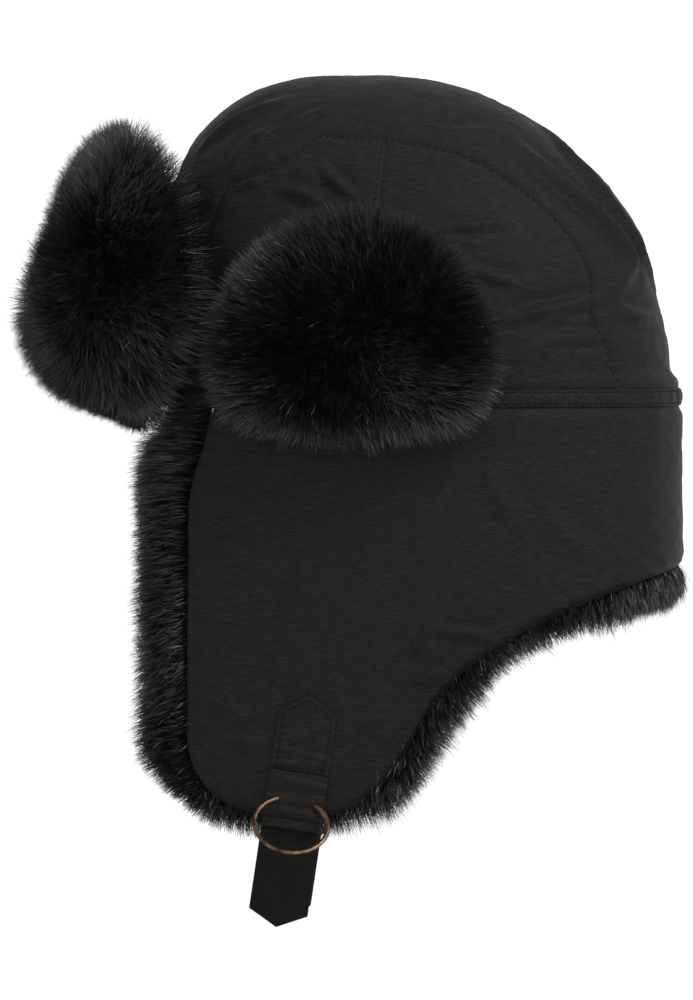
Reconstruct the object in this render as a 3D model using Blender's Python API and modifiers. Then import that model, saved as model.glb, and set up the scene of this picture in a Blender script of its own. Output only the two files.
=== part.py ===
"""Trapper hat with a padded cloth shell, a faux-fur lining and turned-up fur flaps.

Metres, +Z up. The origin is the centre of the head opening, level with the seam under the crown.
The hat faces -Y, and +X is the wearer's left. Every layer follows one outline of the head, set in
by the layer's depth.
"""
import math

import bmesh
import bpy
import numpy as np
from mathutils import Matrix, Vector
from mathutils.geometry import interpolate_bezier

# Crown outline at the band seam
HALF_BREADTH = 0.092
FRONT_Y = -0.116
BACK_Y = 0.114
CROWN_HEIGHT = 0.139
APEX_Y = -0.020
FRONT_POWER = 3.0
SIDE_POWER = 2.2
PLAN_POWER = 2.3

# Lower section: the cheeks reach further forward and hang flatter than the crown
CHEEK_REACH = 0.020
CHEEK_POWER = 3.0
CHEEK_TAPER = 0.05
BLEND_DEPTH = 0.090
SHELL_EDGE_Y = -0.090
EDGE_SWEEP = 0.010
EDGE_SWEEP_DEPTH = 0.050
FLAP_CENTER_Y = -0.047
FLAP_HALF = 0.054
FLAP_CORNER_Z = -0.130
FLAP_BOTTOM_Z = -0.181
REAR_HEM = ((-0.047, -0.181), (-0.020, -0.181), (-0.008, -0.160), (0.002, -0.141),
            (0.014, -0.118), (0.040, -0.098), (0.118, -0.073))

# Crown panels
STRIP_HALF = 0.060
STRIP_FLARE = 0.04
SIDE_SEAM_Y = -0.016
DOME_SEGMENTS = 36
DOME_RINGS = 9

# Layers, as depth below the outer surface
GAP = 0.0003
CLOTH = 0.0012
CROWN_PAD_INSET, CROWN_PAD = 0.0017, 0.0030
LINING_INSET, LINING = 0.0052, 0.0010
FLAP_PAD_INSET, FLAP_PAD = 0.0017, 0.0028
FUR_INSET, FUR_PILE = 0.0050, 0.014
FUR_TRIM_FRONT, FUR_TRIM_HEM = 0.014, 0.008

# Band at the bottom of the crown
BAND_LOW, BAND_HIGH = -0.0040, 0.0030
SWEAT_LOW, SWEAT_HIGH, SWEAT_INSET = -0.0030, 0.022, 0.0068

# Ear-flap fold
FOLD_Z = -0.096
FOLD_RELIEF = math.tan(math.radians(10))
FLAP_MIN_HEIGHT = 0.002

# Turned-up visor
VISOR_ROOT_Y = -0.095
VISOR_HALF = 0.072
VISOR_DEPTH = 0.050
VISOR_LEAN_Z, VISOR_LEAN = 0.040, 0.28
VISOR_TUCK_Z, VISOR_TUCK = 0.030, 16.0
VISOR_CENTER_Z = 0.0505
VISOR_HALF_HEIGHT = 0.0565
VISOR_SPREAD = math.radians(82)
VISOR_PAD = 0.0030
VISOR_FUR_LIFT = 0.0058
VISOR_PILE = 0.025

# Turned-up side lobes
LOBE_CENTER = (-0.027, 0.031)
LOBE_HALF = (0.053, 0.038)
LOBE_STANDOFF = 0.006
LOBE_LEAN = -0.06
LOBE_PILE = 0.026
FUR_OVERHANG = 0.006

# Tab, ring and strap on each ear flap
TAB_TOP = (-0.046, -0.128)
TAB_LEAN = math.radians(8.5)
TAB_HALF = 0.0128
TAB_SHOULDER = 0.0085
TAB_STITCHED = 0.0345
TAB_THICK = 0.0022
LOOP_START, LOOP_END = 0.0352, 0.0590
LOOP_LIFT, LOOP_THICK = 0.0005, 0.0050
RING_RADIUS = 0.0160
RING_WIRE = 0.0011
RING_FLATTEN = 0.55
RING_TILT = math.radians(43)
RING_TOP, RING_TOP_LIFT = 0.0450, 0.0028
STRAP_START, STRAP_END = 0.0555, 0.1020
STRAP_POINT = 0.0065
STRAP_LIFT, STRAP_THICK = -0.0018, 0.0018


def clear_scene():
    for obj in list(bpy.data.objects):
        bpy.data.objects.remove(obj, do_unlink=True)


def smooth(value):
    """Ease from 0 to 1 as value goes from 0 to 1."""
    value = min(max(value, 0.0), 1.0)
    return value * value * (3 - 2 * value)


# ---------------------------------------------------------------- outline of the head

def section(z, inset):
    """Centre y, half length, half breadth and squareness of the outline at height z."""
    if z >= 0:
        rise = min(z / (CROWN_HEIGHT - inset), 1.0)
        reach = (1 - rise ** FRONT_POWER) ** (1 / FRONT_POWER)
        front = APEX_Y - (APEX_Y - FRONT_Y - inset) * reach
        back = APEX_Y + (BACK_Y - APEX_Y - inset) * math.sqrt(1 - rise * rise)
        half = (HALF_BREADTH - inset) * (1 - rise ** SIDE_POWER) ** (1 / SIDE_POWER)
        power = PLAN_POWER
    else:
        drop = smooth(-z / BLEND_DEPTH)
        front = FRONT_Y - CHEEK_REACH * drop + inset
        back = BACK_Y - inset
        half = HALF_BREADTH - inset - CHEEK_TAPER * max(0.0, -z - BLEND_DEPTH)
        power = PLAN_POWER + (CHEEK_POWER - PLAN_POWER) * drop
    return (front + back) / 2, (back - front) / 2, half, power


def outline_point(angle, z, inset=0.0):
    """Point on the outline; angle 0 is the wearer's left and 90 degrees is the back."""
    centre, length, half, power = section(z, inset)
    c, s = math.cos(angle), math.sin(angle)
    x = half * math.copysign(abs(c) ** (2 / power), c)
    y = centre + length * math.copysign(abs(s) ** (2 / power), s)
    return Vector((x, y, z))


def side_x(y, z, inset=0.0):
    """Half breadth of the outline at a given y."""
    centre, length, half, power = section(z, inset)
    share = min(abs(y - centre) / length, 1.0)
    return half * (1 - share ** power) ** (1 / power)


def edge_angle(z, inset, trim):
    """Outline angle of the lower section's front edge, trim being how far fur passes it."""
    sweep = smooth(-z / EDGE_SWEEP_DEPTH)
    edge_y = SHELL_EDGE_Y - EDGE_SWEEP * sweep - trim * (0.5 + 0.5 * sweep)
    centre, length, _, power = section(z, inset)
    return -math.asin(min((centre - edge_y) / length, 1.0) ** (power / 2))


def rear_hem_curve():
    """Hem from the ear flap's lowest point to the nape, as two Bezier curves."""
    points = [Vector((y, z, 0)) for y, z in REAR_HEM]
    first = interpolate_bezier(*points[0:4], 16)
    second = interpolate_bezier(*points[3:7], 16)
    return np.array([(p.x, p.y) for p in first + second[1:]])


HEM_CURVE = rear_hem_curve()


def hem_z(y, trim_front=0.0, trim_hem=0.0):
    """Height of the hem at a given y; the trims are how far fur passes the shell's edges."""
    if y < FLAP_CENTER_Y:
        share = min((FLAP_CENTER_Y - y) / (FLAP_HALF + trim_front), 1.0)
        drop = (FLAP_BOTTOM_Z - FLAP_CORNER_Z) * (1 - share ** 3) ** (1 / 3)
        return FLAP_CORNER_Z - trim_front + drop + trim_front * (1 - share ** 3) - trim_hem
    return float(np.interp(y, HEM_CURVE[:, 0], HEM_CURVE[:, 1])) - trim_hem


# ---------------------------------------------------------------- mesh helpers

def material(name, color, roughness, metallic=0.0):
    mat = bpy.data.materials.get(name) or bpy.data.materials.new(name)
    mat.use_nodes = True
    shader = mat.node_tree.nodes["Principled BSDF"]
    shader.inputs["Base Color"].default_value = (*color, 1)
    shader.inputs["Roughness"].default_value = roughness
    shader.inputs["Metallic"].default_value = metallic
    return mat


def shell_cloth():
    return material("shell_cloth", (0.012, 0.012, 0.011), 0.55)


def fur():
    return material("fur", (0.006, 0.006, 0.006), 0.8)


def padding():
    return material("padding", (0.75, 0.75, 0.72), 0.95)


def lining_cloth():
    return material("lining_cloth", (0.015, 0.015, 0.016), 0.5)


def bronze():
    return material("bronze", (0.30, 0.16, 0.09), 0.35, 1.0)


def collection(name):
    group = bpy.data.collections.new(name)
    bpy.context.scene.collection.children.link(group)
    return group


def finish_mesh(bm, name, group, mat):
    """Turn a bmesh into a named, smooth-shaded object."""
    mesh = bpy.data.meshes.new(name)
    bm.to_mesh(mesh)
    bm.free()
    mesh.shade_smooth()
    mesh.set_sharp_from_angle(angle=math.radians(40))
    mesh.materials.append(mat)
    obj = bpy.data.objects.new(name, mesh)
    group.objects.link(obj)
    return obj


def thicken(obj, thickness, outward=False, thin_edge=None):
    """Solidify an open surface; thin_edge is the share of thickness left where weight is 0."""
    mod = obj.modifiers.new("thickness", "SOLIDIFY")
    mod.thickness = thickness
    mod.offset = 1.0 if outward else -1.0
    mod.use_even_offset = True
    if thin_edge is not None:
        mod.vertex_group = "pile"
        mod.thickness_vertex_group = thin_edge
    return obj


def sheet(name, group, mat, place, columns, rows):
    """Open surface from place(u, v), with u and v from 0 to 1; u cross v points outward."""
    bm = bmesh.new()
    bmesh.ops.create_grid(bm, x_segments=columns, y_segments=rows, size=0.5)
    for vert in bm.verts:
        vert.co = place(vert.co.x + 0.5, vert.co.y + 0.5)
    return finish_mesh(bm, name, group, mat)


def pile_weights(obj, columns, rows):
    """Full thickness in the middle of a fur pad, less towards its edge."""
    weights = obj.vertex_groups.new(name="pile")
    index = 0
    for row in range(rows + 1):
        for column in range(columns + 1):
            edge = max(abs(2 * column / columns - 1), abs(2 * row / rows - 1))
            weights.add([index], 1 - edge ** 4, "REPLACE")
            index += 1


def mirrored(source, name, group):
    """Copy of an object for the wearer's right side, with its modifiers."""
    bm = bmesh.new()
    bm.from_mesh(source.data)
    bmesh.ops.transform(bm, matrix=Matrix.Scale(-1, 4, (1, 0, 0)), verts=bm.verts)
    bmesh.ops.reverse_faces(bm, faces=bm.faces)
    copy = source.copy()
    copy.data = source.data.copy()
    bm.to_mesh(copy.data)
    bm.free()
    copy.name = name
    copy.location.x = -source.location.x
    group.objects.link(copy)
    return copy


def rounded(value, other, roundness):
    """Pull a grid coordinate in towards the corners, for a rounded outline."""
    return value * math.sqrt(1 - roundness * other * other / 2)


# ---------------------------------------------------------------- crown

def dome(name, group, mat, inset, base_z):
    """Dome over the head, open at base_z."""
    bm = bmesh.new()
    bmesh.ops.create_uvsphere(bm, u_segments=DOME_SEGMENTS, v_segments=2 * DOME_RINGS, radius=1)
    below = [vert for vert in bm.verts if vert.co.z < -1e-4]
    bmesh.ops.delete(bm, geom=below, context="VERTS")
    for vert in bm.verts:
        angle = math.atan2(vert.co.y, vert.co.x)
        rise = max(vert.co.z, 0.0)
        vert.co = outline_point(angle, base_z + (CROWN_HEIGHT - inset - base_z) * rise, inset)
    return finish_mesh(bm, name, group, mat)


def keep_side(obj, point, normal):
    """Keep the part of an open surface on the side that the normal points to."""
    bm = bmesh.new()
    bm.from_mesh(obj.data)
    geometry = bm.verts[:] + bm.edges[:] + bm.faces[:]
    direction = Vector(normal).normalized()
    bmesh.ops.bisect_plane(bm, geom=geometry, dist=1e-5, plane_co=Vector(point) + direction * GAP,
                           plane_no=direction, clear_inner=True)
    bm.to_mesh(obj.data)
    bm.free()


def crown_panels(group):
    """Centre strip from front to back, and two panels on each side of it."""
    base = BAND_HIGH + GAP
    left, right = (1, -STRIP_FLARE, 0), (-1, -STRIP_FLARE, 0)
    away_left, away_right = (-1, STRIP_FLARE, 0), (1, STRIP_FLARE, 0)
    strip_left, strip_right = (STRIP_HALF, 0, 0), (-STRIP_HALF, 0, 0)
    seam = (0, SIDE_SEAM_Y, 0)
    cuts = {
        "crown_center_panel": ((strip_left, away_left), (strip_right, away_right)),
        "crown_side_front_left": ((strip_left, left), (seam, (0, -1, 0))),
        "crown_side_back_left": ((strip_left, left), (seam, (0, 1, 0))),
        "crown_side_front_right": ((strip_right, right), (seam, (0, -1, 0))),
        "crown_side_back_right": ((strip_right, right), (seam, (0, 1, 0))),
    }
    for name, planes in cuts.items():
        panel = dome(name, group, shell_cloth(), 0.0, base)
        for point, normal in planes:
            keep_side(panel, point, normal)
        thicken(panel, CLOTH)


def hoop(name, group, mat, low, high, inset, thickness, segments=48):
    """Closed strip round the head between two heights."""
    bm = bmesh.new()
    bmesh.ops.create_cone(bm, cap_ends=False, segments=segments, radius1=1, radius2=1, depth=1)
    for vert in bm.verts:
        z = high if vert.co.z > 0 else low
        vert.co = outline_point(math.atan2(vert.co.y, vert.co.x), z, inset)
    bmesh.ops.recalc_face_normals(bm, faces=bm.faces)
    thicken(finish_mesh(bm, name, group, mat), thickness)


def crown_inner(group):
    """Wadding, lining, sweatband and the elastic that gathers the back."""
    thicken(dome("crown_wadding", group, padding(), CROWN_PAD_INSET, BAND_HIGH + 2 * GAP), CROWN_PAD)
    thicken(dome("crown_lining", group, lining_cloth(), LINING_INSET, SWEAT_LOW), LINING)
    hoop("sweatband", group, lining_cloth(), SWEAT_LOW, SWEAT_HIGH, SWEAT_INSET, CLOTH)
    hoop("crown_band", group, shell_cloth(), BAND_LOW, BAND_HIGH, -GAP, CLOTH)
    arc, low, high, inset = math.radians(80), BAND_LOW + 0.001, BAND_HIGH - 0.001, 0.0024

    def place(u, v):
        return outline_point(math.pi / 2 + (u - 0.5) * arc, low + (high - low) * v, inset)

    thicken(sheet("band_elastic", group, lining_cloth(), place, 12, 1), 0.001)


# ---------------------------------------------------------------- lower section

def lower_angle(u, z, inset, trim):
    start = edge_angle(z, inset, trim)
    return start + (math.pi - 2 * start) * u


def lower_hem(u, inset, trim_front, trim_hem):
    """Hem height on one vertical line of the lower section."""
    reference = FLAP_CORNER_Z
    line = outline_point(lower_angle(u, reference, inset, trim_front), reference, inset)
    return hem_z(line.y, trim_front, trim_hem)


def flap_end(inset, trim_front, trim_hem):
    """Where along the lower section the ear flap runs out at the rear."""
    for step in range(1, 500):
        if lower_hem(step / 1000, inset, trim_front, trim_hem) > FOLD_Z - FLAP_MIN_HEIGHT:
            if step > 50:
                return step / 1000
    return 0.5


def neck_place(inset, trim_front=0.0, trim_hem=0.0):
    """Section above the fold, from one front edge round the nape to the other."""
    top = BAND_LOW - 2 * GAP

    def place(u, v):
        bottom = max(lower_hem(u, inset, trim_front, trim_hem), FOLD_Z)
        z = bottom + (top - bottom) * v
        return outline_point(lower_angle(u, z, inset, trim_front), z, inset)

    return place


def flap_place(inset, depth, trim_front=0.0, trim_hem=0.0):
    """Ear flap below the fold on the wearer's left; its top leans away from the fold."""
    end = flap_end(inset, trim_front, trim_hem)

    def place(u, v):
        along = u * end
        bottom = lower_hem(along, inset, trim_front, trim_hem)
        line = outline_point(lower_angle(along, FOLD_Z, inset, trim_front), FOLD_Z, inset)
        top = FOLD_Z - GAP - FOLD_RELIEF * (HALF_BREADTH - line.x + depth)
        bottom = min(bottom, top - FLAP_MIN_HEIGHT / 2)
        z = bottom + (top - bottom) * v
        return outline_point(lower_angle(along, z, inset, trim_front), z, inset)

    return place


def neck(group):
    thicken(sheet("neck_shell", group, shell_cloth(), neck_place(0.0), 48, 3), CLOTH)
    pad = neck_place(FLAP_PAD_INSET, -0.003, -0.003)
    thicken(sheet("neck_wadding", group, padding(), pad, 48, 3), FLAP_PAD)
    pile = neck_place(FUR_INSET, FUR_TRIM_FRONT, FUR_TRIM_HEM)
    thicken(sheet("neck_fur", group, fur(), pile, 48, 3), FUR_PILE)


def ear_flaps(group):
    shell = flap_place(0.0, CLOTH)
    pad = flap_place(FLAP_PAD_INSET, FLAP_PAD, -0.003, -0.003)
    pile = flap_place(FUR_INSET, FUR_PILE, FUR_TRIM_FRONT, FUR_TRIM_HEM)
    layers = (("ear_flap_shell", shell_cloth(), shell, CLOTH),
              ("ear_flap_wadding", padding(), pad, FLAP_PAD),
              ("ear_flap_fur", fur(), pile, FUR_PILE))
    for name, mat, place, depth in layers:
        layer = thicken(sheet(name + "_left", group, mat, place, 16, 4), depth)
        mirrored(layer, name + "_right", group)


# ---------------------------------------------------------------- turned-up flaps

def visor_place(lift, grow=0.0):
    """Visor surface standing in front of the crown, moved outward by lift."""
    def place(u, v):
        a = rounded(2 * u - 1, 2 * v - 1, 0.8)
        b = rounded(2 * v - 1, 2 * u - 1, 0.8)
        z = VISOR_CENTER_Z + b * (VISOR_HALF_HEIGHT + grow)
        lean = VISOR_LEAN * max(0.0, z - VISOR_LEAN_Z)
        tuck = VISOR_TUCK * max(0.0, VISOR_TUCK_Z - z) ** 2
        depth = VISOR_DEPTH - lean - tuck + lift
        angle = a * VISOR_SPREAD
        return Vector(((VISOR_HALF + lift) * math.sin(angle),
                       VISOR_ROOT_Y - depth * math.cos(angle), z))
    return place


def visor(group):
    """Cloth backing, wadding and fur of the flap folded up over the forehead."""
    backing = sheet("visor_backing", group, shell_cloth(), visor_place(0.0), 18, 8)
    thicken(backing, CLOTH)
    pad = sheet("visor_wadding", group, padding(), visor_place(2 * GAP, -0.003), 18, 8)
    thicken(pad, VISOR_PAD, outward=True)
    lift = VISOR_FUR_LIFT
    pile = sheet("visor_fur", group, fur(), visor_place(lift, 0.001), 18, 8)
    pile_weights(pile, 18, 8)
    thicken(pile, VISOR_PILE, outward=True, thin_edge=0.45)


def lobe_place(lift, grow=0.0):
    """Side lobe surface standing outside the crown on the wearer's left."""
    def place(u, v):
        a = rounded(2 * u - 1, 2 * v - 1, 0.9)
        b = rounded(2 * v - 1, 2 * u - 1, 0.9)
        y = LOBE_CENTER[0] + a * (LOBE_HALF[0] + grow)
        z = LOBE_CENTER[1] + grow / 2 + b * (LOBE_HALF[1] + grow / 2)
        return Vector((side_x(y, 0.0) + LOBE_STANDOFF + LOBE_LEAN * z + lift, y, z))
    return place


def side_lobes(group):
    backing = sheet("side_lobe_backing_left", group, shell_cloth(), lobe_place(0.0), 12, 8)
    thicken(backing, CLOTH)
    mirrored(backing, "side_lobe_backing_right", group)
    pile = sheet("side_lobe_fur_left", group, fur(), lobe_place(2 * GAP, FUR_OVERHANG), 12, 8)
    pile_weights(pile, 12, 8)
    thicken(pile, LOBE_PILE, outward=True, thin_edge=0.45)
    mirrored(pile, "side_lobe_fur_right", group)


# ---------------------------------------------------------------- tab, ring and strap

def tab_point(across, along, lift):
    """Point over the ear flap, measured from the tab's tip down its leaning centre line."""
    y = TAB_TOP[0] + across * math.cos(TAB_LEAN) - along * math.sin(TAB_LEAN)
    z = TAB_TOP[1] - across * math.sin(TAB_LEAN) - along * math.cos(TAB_LEAN)
    return Vector((side_x(y, z) + lift, y, z))


def band_place(start, end, lift, top_point=0.0, bottom_point=0.0):
    """Strip of the strap's width, with an optional point at either end."""
    def place(u, v):
        across = (2 * u - 1) * TAB_HALF
        side = abs(2 * u - 1)
        first = start + top_point * side
        last = end - bottom_point * side
        return tab_point(across, last + (first - last) * v, lift)
    return place


def ring(name, group, mat, wire):
    """Flat-wire ring hung through the loop, its lower side standing out from the flap."""
    centre = tab_point(0, RING_TOP + RING_RADIUS * math.cos(RING_TILT),
                       RING_TOP_LIFT + RING_RADIUS * math.sin(RING_TILT))
    bpy.ops.mesh.primitive_torus_add(major_radius=RING_RADIUS, minor_radius=wire,
                                     major_segments=32, minor_segments=8)
    obj = bpy.context.object
    for owner in list(obj.users_collection):
        owner.objects.unlink(obj)
    group.objects.link(obj)
    lean = Matrix.Rotation(-TAB_LEAN, 4, "X")
    tilt = Matrix.Rotation(math.pi / 2 - RING_TILT, 4, "Y")
    flatten = Matrix.Scale(RING_FLATTEN, 4, (0, 0, 1))
    obj.data.transform(Matrix.Translation(centre) @ lean @ tilt @ flatten)
    obj.data.shade_smooth()
    obj.data.materials.append(mat)
    obj.name = name
    return obj


def fastenings(group, cutters):
    """Stitched tab, ring loop, ring and pointed strap of each ear flap."""
    tab = sheet("strap_tab_left", group, shell_cloth(),
                band_place(0, TAB_STITCHED, GAP, top_point=TAB_SHOULDER), 6, 6)
    thicken(tab, TAB_THICK, outward=True)
    loop = sheet("ring_loop_left", group, shell_cloth(),
                 band_place(LOOP_START, LOOP_END, LOOP_LIFT), 6, 4)
    thicken(loop, LOOP_THICK, outward=True)
    metal = ring("ring_left", group, bronze(), RING_WIRE)
    strap = sheet("chin_strap_left", group, shell_cloth(),
                  band_place(STRAP_START, STRAP_END, STRAP_LIFT, bottom_point=STRAP_POINT), 6, 6)
    thicken(strap, STRAP_THICK, outward=True)
    cutter = ring("ring_channel_left", cutters, bronze(), RING_WIRE + 2 * GAP)
    pieces = (tab, loop, metal, strap)
    copies = [mirrored(piece, piece.name.replace("left", "right"), group) for piece in pieces]
    far_cutter = mirrored(cutter, "ring_channel_right", cutters)
    for target, tool in ((loop, cutter), (copies[1], far_cutter)):
        tool.hide_render = True
        tool.display_type = "WIRE"
        cut = target.modifiers.new("ring_channel", "BOOLEAN")
        cut.operation = "DIFFERENCE"
        cut.object = tool


def build():
    clear_scene()
    hat = collection("trapper_hat")
    cutters = collection("cutters")
    crown_panels(hat)
    crown_inner(hat)
    neck(hat)
    ear_flaps(hat)
    visor(hat)
    side_lobes(hat)
    fastenings(hat, cutters)


build()
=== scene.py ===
import math

import bmesh
import bpy
import numpy as np
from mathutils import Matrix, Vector, kdtree, noise
from mathutils.bvhtree import BVHTree


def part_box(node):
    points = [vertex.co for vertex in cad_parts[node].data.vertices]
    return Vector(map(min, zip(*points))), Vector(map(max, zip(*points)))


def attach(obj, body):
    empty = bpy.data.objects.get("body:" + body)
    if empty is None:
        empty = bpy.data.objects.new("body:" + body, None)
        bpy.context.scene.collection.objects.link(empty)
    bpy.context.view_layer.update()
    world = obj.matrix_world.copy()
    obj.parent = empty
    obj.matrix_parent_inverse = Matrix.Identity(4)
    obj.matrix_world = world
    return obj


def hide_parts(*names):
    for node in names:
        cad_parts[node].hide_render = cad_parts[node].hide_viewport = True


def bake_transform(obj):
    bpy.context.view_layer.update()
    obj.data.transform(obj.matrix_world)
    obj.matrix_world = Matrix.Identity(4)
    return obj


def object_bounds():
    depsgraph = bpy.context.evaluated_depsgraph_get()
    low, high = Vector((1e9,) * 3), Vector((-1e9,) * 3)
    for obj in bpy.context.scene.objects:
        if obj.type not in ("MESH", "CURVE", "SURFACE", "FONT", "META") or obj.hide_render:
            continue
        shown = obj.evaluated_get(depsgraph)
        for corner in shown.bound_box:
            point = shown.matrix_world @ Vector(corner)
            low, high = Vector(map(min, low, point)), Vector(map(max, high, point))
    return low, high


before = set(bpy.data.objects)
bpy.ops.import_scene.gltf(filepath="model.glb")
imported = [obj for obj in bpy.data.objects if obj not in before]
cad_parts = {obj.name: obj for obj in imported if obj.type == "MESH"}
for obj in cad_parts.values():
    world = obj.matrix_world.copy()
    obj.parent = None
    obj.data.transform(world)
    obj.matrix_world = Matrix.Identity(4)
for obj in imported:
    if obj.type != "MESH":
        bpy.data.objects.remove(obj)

CAD_BOX = [[float(value) for value in corner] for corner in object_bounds()]

# ---- sizes, in metres, from the frame

MM = 0.001
TAU = 2 * math.pi
SIDES = (("left", 1), ("right", -1))

STRIP_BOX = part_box("crown_center_panel")
NECK_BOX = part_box("neck_shell")
BAND_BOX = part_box("crown_band")
HALF_BREADTH, BACK_Y = NECK_BOX[1][0], NECK_BOX[1][1]
FRONT_Y, CROWN_TOP = STRIP_BOX[0][1], STRIP_BOX[1][2]
BAND_LOW, BAND_HIGH = BAND_BOX[0][2], BAND_BOX[1][2]
FLAP_BOTTOM_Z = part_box("ear_flap_shell_left")[0][2]
APEX_Y = -0.020
DOME_CENTER = np.array([0.0, -0.010, 0.0])

# The hat's outline, as squareness of its sections, and how it changes down the cheeks
FRONT_POWER, SIDE_POWER, PLAN_POWER, CHEEK_POWER = 3.0, 2.2, 2.3, 3.0
CHEEK_REACH, CHEEK_TAPER, BLEND_DEPTH = 0.020, 0.05, 0.090
# The crown's back sits in a little above the band, between two heights
BACK_SLACK, SLACK_LOW, SLACK_HIGH = 4.5 * MM, 0.004, 0.035

# Front edge and hem of the lower section; the hem's stops are (y, z) of two Bezier curves
SHELL_EDGE_Y, EDGE_SWEEP, EDGE_SWEEP_DEPTH = -0.090, 0.010, 0.050
FLAP_CENTER_Y, FLAP_HALF, FLAP_CORNER_Z = -0.047, 0.054, -0.130
REAR_HEM = np.array([(-0.047, -0.181), (-0.020, -0.181), (-0.008, -0.160), (0.002, -0.141),
                     (0.014, -0.118), (0.040, -0.098), (0.118, -0.073)])

# Crown seams: half width of the centre strip, and where the side seam stands
STRIP_HALF, STRIP_FLARE = 0.060, 0.04
SIDE_SEAM_Y, SIDE_SEAM_Z, SIDE_SEAM_SLANT = -0.016, 0.090, 0.12


# ---- outline functions, on arrays

def ease(value):
    """Smooth step from 0 to 1."""
    value = np.clip(value, 0.0, 1.0)
    return value * value * (3 - 2 * value)


def bell(value, width):
    """Bell curve: 1 where the value is 0, fading out over the width."""
    return np.exp(-(value / width) ** 2)


def bisect(low, high, is_past):
    """Values between low and high where is_past turns from false to true."""
    for _ in range(40):
        middle = (low + high) / 2
        past = is_past(middle)
        high = np.where(past, middle, high)
        low = np.where(past, low, middle)
    return (low + high) / 2


def travelled(line):
    """Distance along a line at each of its points."""
    return np.concatenate([[0], np.cumsum(np.linalg.norm(np.diff(line, axis=0), axis=1))])


def section(z, inset=0.0):
    """Centre y, half length, half breadth and squareness of the outline at heights z."""
    z = np.asarray(z, float)
    rise = np.clip(z / (CROWN_TOP - inset), 0.0, 0.99999)
    above = z >= 0
    front_up = APEX_Y - (APEX_Y - FRONT_Y - inset) * (1 - rise ** FRONT_POWER) ** (1 / FRONT_POWER)
    slack = BACK_SLACK * ease((z - SLACK_LOW) / 0.008) * (1 - ease((z - SLACK_HIGH) / 0.035))
    back_up = APEX_Y + (BACK_Y - APEX_Y - inset) * np.sqrt(1 - rise * rise) - slack
    half_up = (HALF_BREADTH - inset) * (1 - rise ** SIDE_POWER) ** (1 / SIDE_POWER)
    drop = ease(-z / BLEND_DEPTH)
    front_down = FRONT_Y - CHEEK_REACH * drop + inset
    half_down = HALF_BREADTH - inset - CHEEK_TAPER * np.maximum(0.0, -z - BLEND_DEPTH)
    front = np.where(above, front_up, front_down)
    back = np.where(above, back_up, BACK_Y - inset)
    half = np.where(above, half_up, half_down)
    power = np.where(above, PLAN_POWER, PLAN_POWER + (CHEEK_POWER - PLAN_POWER) * drop)
    return (front + back) / 2, (back - front) / 2, half, power


def outline(angle, z, inset=0.0):
    """Points on the outline; angle 0 is the wearer's left and 90 degrees is the back."""
    angle, z = np.broadcast_arrays(np.asarray(angle, float), np.asarray(z, float))
    centre, length, half, power = section(z, inset)
    c, s = np.cos(angle), np.sin(angle)
    x = half * np.sign(c) * np.abs(c) ** (2 / power)
    y = centre + length * np.sign(s) * np.abs(s) ** (2 / power)
    return np.stack([x, y, z], -1)


def side_x(y, z, inset=0.0):
    """Half breadth of the outline at y and z."""
    centre, length, half, power = section(z, inset)
    share = np.clip(np.abs(y - centre) / length, 0, 0.99999)
    return half * (1 - share ** power) ** (1 / power)


def fullness(points, inset=0.0):
    """Below 1 inside the outline, 1 on it and above 1 outside."""
    centre, length, half, power = section(points[..., 2], inset)
    over = points[..., 2] > (CROWN_TOP - inset) * 0.99999
    value = (np.abs(points[..., 0]) / half) ** power + (np.abs(points[..., 1] - centre) / length) ** power
    return np.where(over, 9.0, value)


def on_dome(points, inset=0.0):
    """Move points along rays from the dome's centre until they lie on the outline."""
    ray = points - DOME_CENTER
    near, far = np.full(points.shape[:-1], 0.3), np.full(points.shape[:-1], 3.0)
    reach = bisect(near, far, lambda share: fullness(DOME_CENTER + ray * share[..., None], inset) > 1)
    return DOME_CENTER + ray * reach[..., None]


def resample(line, count):
    """The same line with evenly spaced points."""
    along = travelled(line)
    wanted = np.linspace(0, along[-1], count)
    return np.stack([np.interp(wanted, along, line[:, k]) for k in range(3)], -1)


def bezier(points, count):
    """Cubic Bezier curve through 4 control points."""
    t = np.linspace(0, 1, count)[:, None]
    a, b, c, d = points
    return (1 - t) ** 3 * a + 3 * t * (1 - t) ** 2 * b + 3 * t * t * (1 - t) * c + t ** 3 * d


HEM_CURVE = np.concatenate([bezier(REAR_HEM[0:4], 24), bezier(REAR_HEM[3:7], 24)[1:]])


def hem_z(y, trim_front=0.0, trim_hem=0.0):
    """Height of the hem at y; the trims are how far fur passes the shell's edges."""
    share = np.clip((FLAP_CENTER_Y - y) / (FLAP_HALF + trim_front), 0, 1)
    drop = (FLAP_BOTTOM_Z - FLAP_CORNER_Z) * (1 - share ** 3) ** (1 / 3)
    front = FLAP_CORNER_Z + drop - 0.1 * trim_front * share ** 3
    rear = np.interp(y, HEM_CURVE[:, 0], HEM_CURVE[:, 1])
    return np.where(y < FLAP_CENTER_Y, front, rear) - trim_hem


def edge_angle(z, inset=0.0, trim=0.0):
    """Outline angle of the lower section's front edge."""
    sweep = ease(-z / EDGE_SWEEP_DEPTH)
    edge_y = SHELL_EDGE_Y - EDGE_SWEEP * sweep - trim * (0.5 + 0.5 * sweep)
    centre, length, _, power = section(z, inset)
    return -np.arcsin(np.clip((centre - edge_y) / length, 0, 1) ** (power / 2))


# ---- mesh helpers

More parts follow.
